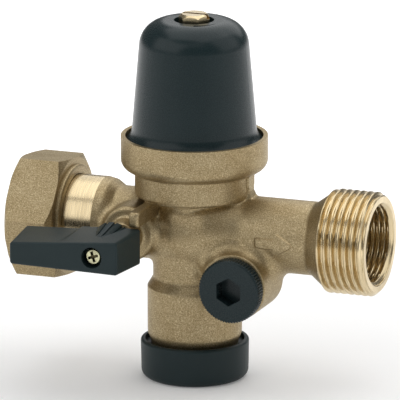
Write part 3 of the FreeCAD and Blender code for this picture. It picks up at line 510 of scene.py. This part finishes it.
def soften_corners(mesh):
    """Corners of the casting's outside rounded, as sand casting leaves them."""
    points = []
    for edge in corner_edges(mesh):
        start, end = (vert.co for vert in edge.verts)
        count = 1 + int((end - start).length / (SEAM_SPACING * MM))
        points += [start.lerp(end, step / count) for step in range(count + 1)]
    tree = KDTree(len(points))
    for index, point in enumerate(points):
        tree.insert(point, index)
    tree.balance()

    def nearness(place):
        """1 at a corner, falling to 0 at the reach."""
        distance = tree.find(place)[2]
        return max(0.0, 1.0 - distance / (SEAM_REACH * MM))

    def is_long(edge):
        """Whether an edge of the outside that is near a corner is still too long."""
        start, end = (vert.co for vert in edge.verts)
        if edge.calc_length() <= SEAM_EDGE * MM or not (is_outside(start) and is_outside(end)):
            return False
        return any(nearness(place) > 0 for place in (start, end, (start + end) / 2))

    for _ in range(SEAM_SPLITS):
        long_edges = [edge for edge in mesh.edges if is_long(edge)]
        if not long_edges:
            break
        bmesh.ops.subdivide_edges(mesh, edges=long_edges, cuts=1)
        bmesh.ops.triangulate(mesh, faces=[face for face in mesh.faces if len(face.verts) > 3])
    weights = {vert: nearness(vert.co) for vert in mesh.verts if is_outside(vert.co)}
    weights = {vert: weight for vert, weight in weights.items() if weight > 0}
    for _ in range(SEAM_PASSES):
        moved = {}
        for vert, weight in weights.items():
            total, middle = 0.0, Vector()
            for edge in vert.link_edges:
                length = edge.calc_length()
                middle += edge.other_vert(vert).co * length
                total += length
            moved[vert] = vert.co.lerp(middle / total, SEAM_PULL * min(1.0, 2 * weight))
        for vert, place in moved.items():
            vert.co = place
    kept = mesh.loops.layers.float_vector[KEPT_NORMAL]
    for vert in weights:
        for loop in vert.link_loops:
            loop[kept] = (0, 0, 0)


def is_turned_face(face):
    """Whether a face of the casting is on its turned neck or at its threads."""
    along = RUN.measure(face.calc_center_median())[0]
    return along < NECK_START or along > THREAD_START


def threaded_body():
    """The casting with the helices of its outside and inside threads."""
    mesh = node_mesh("valve_body")
    soften_corners(mesh)
    outer = stations_between(THREAD_START, OUTLET_END, THREAD_PITCH / CREST_STEPS)
    outer.insert(1, THREAD_START + START_STEP)
    outer_wall = on_wall(THREAD_START - END_MARGIN, OUTLET_END - END_MARGIN,
                         CREST_R - CHAMFER - WALL_MARGIN, CREST_R + WALL_MARGIN)
    replace_wall(mesh, RUN, outer_wall, outer, outside_thread,
                 (FLARE_R, CREST_R - CHAMFER), THREAD_COLUMNS)
    inner = stations_between(BORE_END, OUTLET_END, BORE_PITCH / BORE_STEPS)
    inner_wall = on_wall(BORE_END, OUTLET_END - END_MARGIN,
                         BORE_R - WALL_MARGIN, BORE_R + CHAMFER + WALL_MARGIN)
    bore_thread = inside_thread(BORE_R, BORE_DEPTH, BORE_PITCH, OUTLET_END, BORE_END, CHAMFER)
    replace_wall(mesh, RUN, inner_wall, inner, bore_thread, (BORE_R, BORE_R + CHAMFER), THREAD_COLUMNS)
    materials = (FINISHES["cast_brass"], TURNED_X)
    finished("casting", mesh, "valve_body", materials, lambda face: int(is_turned_face(face)),
             sharp_angle=30)


def round_edges(mesh, edges, radius):
    """Edges of a mesh rounded, with the faces beside them kept flat."""
    made = bmesh.ops.bevel(mesh, geom=edges, offset=radius * MM, segments=ROUND_SEGMENTS,
                           profile=0.5, affect="EDGES", clamp_overlap=True)
    kept = mesh.loops.layers.float_vector[KEPT_NORMAL]
    rounds = set(made["faces"])
    for face in rounds:
        for loop in face.loops:
            flat = [other for other in loop.vert.link_faces if other not in rounds]
            loop[kept] = flat[0].normal if flat else (0, 0, 0)


def convex_edges(edges, least):
    """Those of some edges that stand out with more than an angle between their two faces."""
    return [edge for edge in edges
            if len(edge.link_faces) == 2 and edge.is_convex and edge.calc_face_angle(0) > least]


def threaded_nut():
    """The union nut with dulled outer edges and the helix of its inside thread."""
    mesh = node_mesh("union_nut")
    bmesh.ops.dissolve_limit(mesh, angle_limit=COPLANAR, verts=mesh.verts, edges=mesh.edges)
    outer = [edge for edge in convex_edges(mesh.edges, NUT_EDGE_ANGLE)
             if all(RUN.measure(vert.co)[1] > NUT_EDGE_R for vert in edge.verts)]
    round_edges(mesh, outer, NUT_EDGE_ROUND)
    inner = stations_between(NUT_OPEN_END, NUT_THREAD_END, THREAD_PITCH / BORE_STEPS)
    wall = on_wall(NUT_OPEN_END + END_MARGIN, NUT_THREAD_END,
                   NUT_BORE_R - WALL_MARGIN, NUT_BORE_R + CHAMFER + WALL_MARGIN)
    thread = inside_thread(NUT_BORE_R, THREAD_DEPTH, THREAD_PITCH, NUT_OPEN_END, NUT_THREAD_END, CHAMFER)
    replace_wall(mesh, RUN, wall, inner, thread, (NUT_BORE_R + CHAMFER, NUT_BORE_R), THREAD_COLUMNS)

    def choose(face):
        """1 for turned brass on the thread and its chamfer, 0 elsewhere."""
        along, radius = RUN.measure(face.calc_center_median())
        return int(radius < NUT_TURNED_R and along < NUT_THREAD_END)

    materials = (FINISHES["cast_brass"], TURNED_X)
    finished("nut", mesh, "union_nut", materials, choose, sharp_angle=28)


def knurled_plug():
    """The gauge plug with its knurled rim."""
    mesh = node_mesh("gauge_plug")

    def rim_radius(along, angle):
        """Radius between the ridges and grooves of the knurl, chamfered at both ends."""
        chamfer = PLUG_FACE_R + (along - PLUG_FRONT) * (PLUG_R - PLUG_FACE_R) / PLUG_CHAMFER
        back = PLUG_R - max(0.0, along - (PLUG_BACK - KNURL_BACK_CHAMFER))
        depth = (0.5 - 0.5 * math.cos(KNURL_TEETH * angle)) ** KNURL_POWER
        return min(chamfer, back, PLUG_R - KNURL_DEPTH * depth)

    stations = stations_between(PLUG_FRONT, PLUG_BACK, KNURL_STEP)
    wall = on_wall(PLUG_FRONT + END_MARGIN, PLUG_BACK - END_MARGIN,
                   PLUG_FACE_R - WALL_MARGIN, PLUG_R + WALL_MARGIN)
    replace_wall(mesh, PLUG, wall, stations, rim_radius, (PLUG_FACE_R, PLUG_BACK_R),
                 KNURL_TEETH * KNURL_COLUMNS)
    finished("plug", mesh, "gauge_plug", (FINISHES["black_plastic"],), lambda face: 0, sharp_angle=35)


def rounded_lever():
    """The lever with the rounded edges of a moulding round its front face."""
    mesh = node_mesh("lever_handle")
    bmesh.ops.dissolve_limit(mesh, angle_limit=COPLANAR, verts=mesh.verts, edges=mesh.edges)
    front = min(vert.co.y for vert in mesh.verts) + END_MARGIN * MM
    outline = {edge for edge in convex_edges(mesh.edges, LEVER_FRONT_ANGLE)
               if all(vert.co.y < front and stem_distance(vert.co) > SCREW_RECESS_R + WALL_MARGIN
                      for vert in edge.verts)}
    corners = {vert for edge in outline for vert in edge.verts}
    beside = {edge for vert in corners for edge in vert.link_edges}
    outline.update(convex_edges(beside, LEVER_CORNER_ANGLE))
    round_edges(mesh, list(outline), LEVER_ROUND)
    finished("lever", mesh, "lever_handle", (MATT_PLASTIC,), lambda face: 0, sharp_angle=30)


def domed_screw():
    """The handle screw with a domed head and painted shade in its cross recess."""
    mesh = node_mesh("handle_screw")
    front = min(vert.co.y for vert in mesh.verts)
    for vert in mesh.verts:
        depth = (vert.co.y - front) / MM
        share = max(0.0, 1 - depth / SCREW_DOME_DEPTH)
        vert.co.y += SCREW_DOME * MM * share * (stem_distance(vert.co) / SCREW_HEAD_R) ** 2
    kept = mesh.loops.layers.float_vector[KEPT_NORMAL]
    for face in mesh.faces:
        for loop in face.loops:
            loop[kept] = (0, 0, 0)

    def choose(face):
        """1 for painted shade inside the cross recess, 0 elsewhere."""
        middle = face.calc_center_median()
        is_deep = middle.y > front + CROSS_MIN_DEPTH * MM
        return int(is_deep and stem_distance(middle) < CROSS_R)

    materials = (FINISHES["zinc_plated"], PAINTED_RECESS_SHADE)
    finished("lever_screw", mesh, "handle_screw", materials, choose, sharp_angle=30)


def arrow_half_width(along):
    """Half of the flow arrow's width at a distance along the run: a shaft, then a head."""
    if along < ARROW_NECK:
        return ARROW_SHAFT
    return max(ARROW_POINT, ARROW_HEAD * (ARROW_TIP - along) / (ARROW_TIP - ARROW_NECK))


def flow_arrow():
    """Plain raised arrow on the outlet arm that points the way the water runs."""
    mesh = bmesh.new()
    stations = stations_between(ARROW_START, ARROW_NECK - ARROW_DRAFT, ARROW_STEP)
    stations += stations_between(ARROW_NECK, ARROW_TIP, ARROW_STEP)
    rings = []
    for along in stations:
        half = arrow_half_width(along)
        end_distance = min(along - ARROW_START, ARROW_TIP - along)
        rise = min(1.0, end_distance / ARROW_DRAFT) * ARROW_PROUD
        top = (ARM_R + rise, half, 1)
        root = (ARM_R - ARROW_PROUD, half + ARROW_DRAFT, -1)
        ring = []
        for radius, reach, way in (top, root):
            for step in range(2 * ARROW_COLUMNS + 1):
                angle = math.pi + way * (step / ARROW_COLUMNS - 1) * reach / radius
                ring.append(mesh.verts.new(RUN.place(along, radius, angle)))
        rings.append(ring)
    for ring, following in zip(rings, rings[1:]):
        for step, vert in enumerate(ring):
            after = (step + 1) % len(ring)
            mesh.faces.new((vert, ring[after], following[after], following[step]))
    mesh.faces.new(rings[0])
    mesh.faces.new(rings[-1])
    bmesh.ops.recalc_face_normals(mesh, faces=mesh.faces)
    for face in mesh.faces:
        face.smooth = True
    data = bpy.data.meshes.new("flow_arrow")
    mesh.to_mesh(data)
    mesh.free()
    data.set_sharp_from_angle(angle=math.radians(ARROW_SHARP))
    arrow = bpy.data.objects.new("flow_arrow", data)
    data.materials.append(FINISHES["cast_brass"])
    bpy.context.collection.objects.link(arrow)
    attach(arrow, body_of("valve_body"))


def flexing_spring():
    """The spring as a plain copy where it stands, in place of its node."""
    spring = bpy.data.objects.new("spring", frame["nodes"]["adjusting_spring"].data.copy())
    bpy.context.collection.objects.link(spring)
    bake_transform(spring)
    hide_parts("adjusting_spring")


threaded_body()
threaded_nut()
knurled_plug()
rounded_lever()
domed_screw()
flow_arrow()
flexing_spring()


# Camera, floor and light

# The camera was fitted to the round edges of the photograph: its angles, distance and
# focal length, and the place in the image where the run's axis crosses the vertical axis.
# Distances from here on are in metres, apart from the width of the sensor.
CAMERA_AZIMUTH = math.radians(20.95)
CAMERA_ELEVATION = math.radians(14.89)
CAMERA_ROLL = math.radians(0.16)
CAMERA_DISTANCE = 2.48
IMAGE_SIZE = 400
FOCAL_PIXELS = 7780
CROSSING_PIXEL = (194.55, 226.96)
SENSOR_MM = 36.0
WORLD_RADIANCE = 0.15
FLOOR_HALF = 3.0
FLOOR_WHITE = 0.9
FLOOR_ROUGHNESS = 0.9
FLOOR_NEAR_GLOW = 0.1     # painted light: emission strength up to GLOW_START from the vertical axis, kept low as a painted shade round the object
FLOOR_GLOW = 0.5          # and beyond GLOW_END
GLOW_START = 0.04
GLOW_END = 0.4


def add_camera():
    """Camera at the photograph's viewing angle."""
    back = Vector((math.sin(CAMERA_AZIMUTH) * math.cos(CAMERA_ELEVATION),
                   -math.cos(CAMERA_AZIMUTH) * math.cos(CAMERA_ELEVATION),
                   math.sin(CAMERA_ELEVATION)))
    right = Vector((math.cos(CAMERA_AZIMUTH), math.sin(CAMERA_AZIMUTH), 0))
    up = back.cross(right)
    crossing = Vector((0, 0, RUN_HEIGHT))
    place = crossing + back * CAMERA_DISTANCE
    across = (IMAGE_SIZE / 2 - CROSSING_PIXEL[0]) / FOCAL_PIXELS
    above = (CROSSING_PIXEL[1] - IMAGE_SIZE / 2) / FOCAL_PIXELS
    look = (right * across + up * above - back).normalized()
    side = look.cross(up).normalized()
    turn = Matrix((side, side.cross(look), -look)).transposed()
    data = bpy.data.cameras.new("camera")
    data.sensor_width = SENSOR_MM
    data.lens = FOCAL_PIXELS / IMAGE_SIZE * SENSOR_MM
    data.clip_end = 4 * CAMERA_DISTANCE
    camera = bpy.data.objects.new("camera", data)
    camera.matrix_world = (Matrix.Translation(place) @ turn.to_4x4()
                           @ Matrix.Rotation(-CAMERA_ROLL, 4, "Z"))
    bpy.context.collection.objects.link(camera)
    bpy.context.scene.camera = camera


def add_floor():
    """Pale plain floor that fills the view, with painted light: it glows, weakly near the object and
    more far from it, so a painted shade lies round the object.
    """
    mesh = bpy.data.meshes.new("floor")
    signs = ((-1, -1), (1, -1), (1, 1), (-1, 1))
    corners = [(FLOOR_HALF * x, FLOOR_HALF * y, 0) for x, y in signs]
    mesh.from_pydata(corners, [], [(0, 1, 2, 3)])
    floor = bpy.data.objects.new("floor", mesh)
    bpy.context.collection.objects.link(floor)
    finish = Finish("floor", (FLOOR_WHITE, FLOOR_WHITE, FLOOR_WHITE), 0.0, FLOOR_ROUGHNESS)
    length = finish.nodes.new("ShaderNodeVectorMath")
    length.operation = "LENGTH"
    finish.join(finish.place, length.inputs[0])
    # painted light: the floor's glow, with painted shade where it is weak near the object
    glow = finish.nodes.new("ShaderNodeMapRange")
    glow.interpolation_type = "SMOOTHSTEP"
    glow.inputs["From Min"].default_value = GLOW_START
    glow.inputs["From Max"].default_value = GLOW_END
    glow.inputs["To Min"].default_value = FLOOR_NEAR_GLOW
    glow.inputs["To Max"].default_value = FLOOR_GLOW
    finish.join(length.outputs["Value"], glow.inputs["Value"])
    finish.shader.inputs["Emission Color"].default_value = (1, 1, 1, 1)
    finish.join(glow.outputs["Result"], finish.shader.inputs["Emission Strength"])
    floor.data.materials.append(finish.material)


def add_softbox(name, azimuth, elevation, distance, size, radiance):
    """Rectangular light that faces the object; azimuth is from -Y towards +X.

    Angles are in degrees, distance and size in metres.
    """
    turn, rise = math.radians(azimuth), math.radians(elevation)
    away = Vector((math.sin(turn) * math.cos(rise), -math.cos(turn) * math.cos(rise), math.sin(rise)))
    data = bpy.data.lights.new(name, "AREA")
    data.shape = "RECTANGLE"
    data.size, data.size_y = size
    data.energy = radiance * math.pi * size[0] * size[1]
    light = bpy.data.objects.new(name, data)
    light.location = Vector((0, 0, RUN_HEIGHT)) + away * distance
    light.rotation_euler = away.to_track_quat("Z", "Y").to_euler()
    bpy.context.collection.objects.link(light)


def add_world():
    """Even pale surroundings."""
    world = bpy.data.worlds.new("world")
    world.use_nodes = True
    background = world.node_tree.nodes["Background"]
    background.inputs["Color"].default_value = (1, 1, 1, 1)
    background.inputs["Strength"].default_value = WORLD_RADIANCE
    bpy.context.scene.world = world


add_camera()
add_floor()
add_world()
add_softbox("left_softbox", -42, 30, 0.9, (1.1, 0.7), 1.25)
add_softbox("front_softbox", 21, 46, 0.9, (0.6, 0.3), 0.5)
add_softbox("right_softbox", 104, 32, 0.9, (0.85, 0.8), 1.1)
add_softbox("top_softbox", 180, 84, 0.9, (1.2, 1.05), 1.55)
add_softbox("back_softbox", 178, 36, 1.0, (1.0, 0.7), 1.2)
add_softbox("left_card", -82.5, 1, 0.6, (0.95, 0.11), 0.15)
add_softbox("right_card", 87.5, 1, 0.6, (0.99, 0.11), 0.2)
bpy.context.scene.view_settings.view_transform = "Standard"
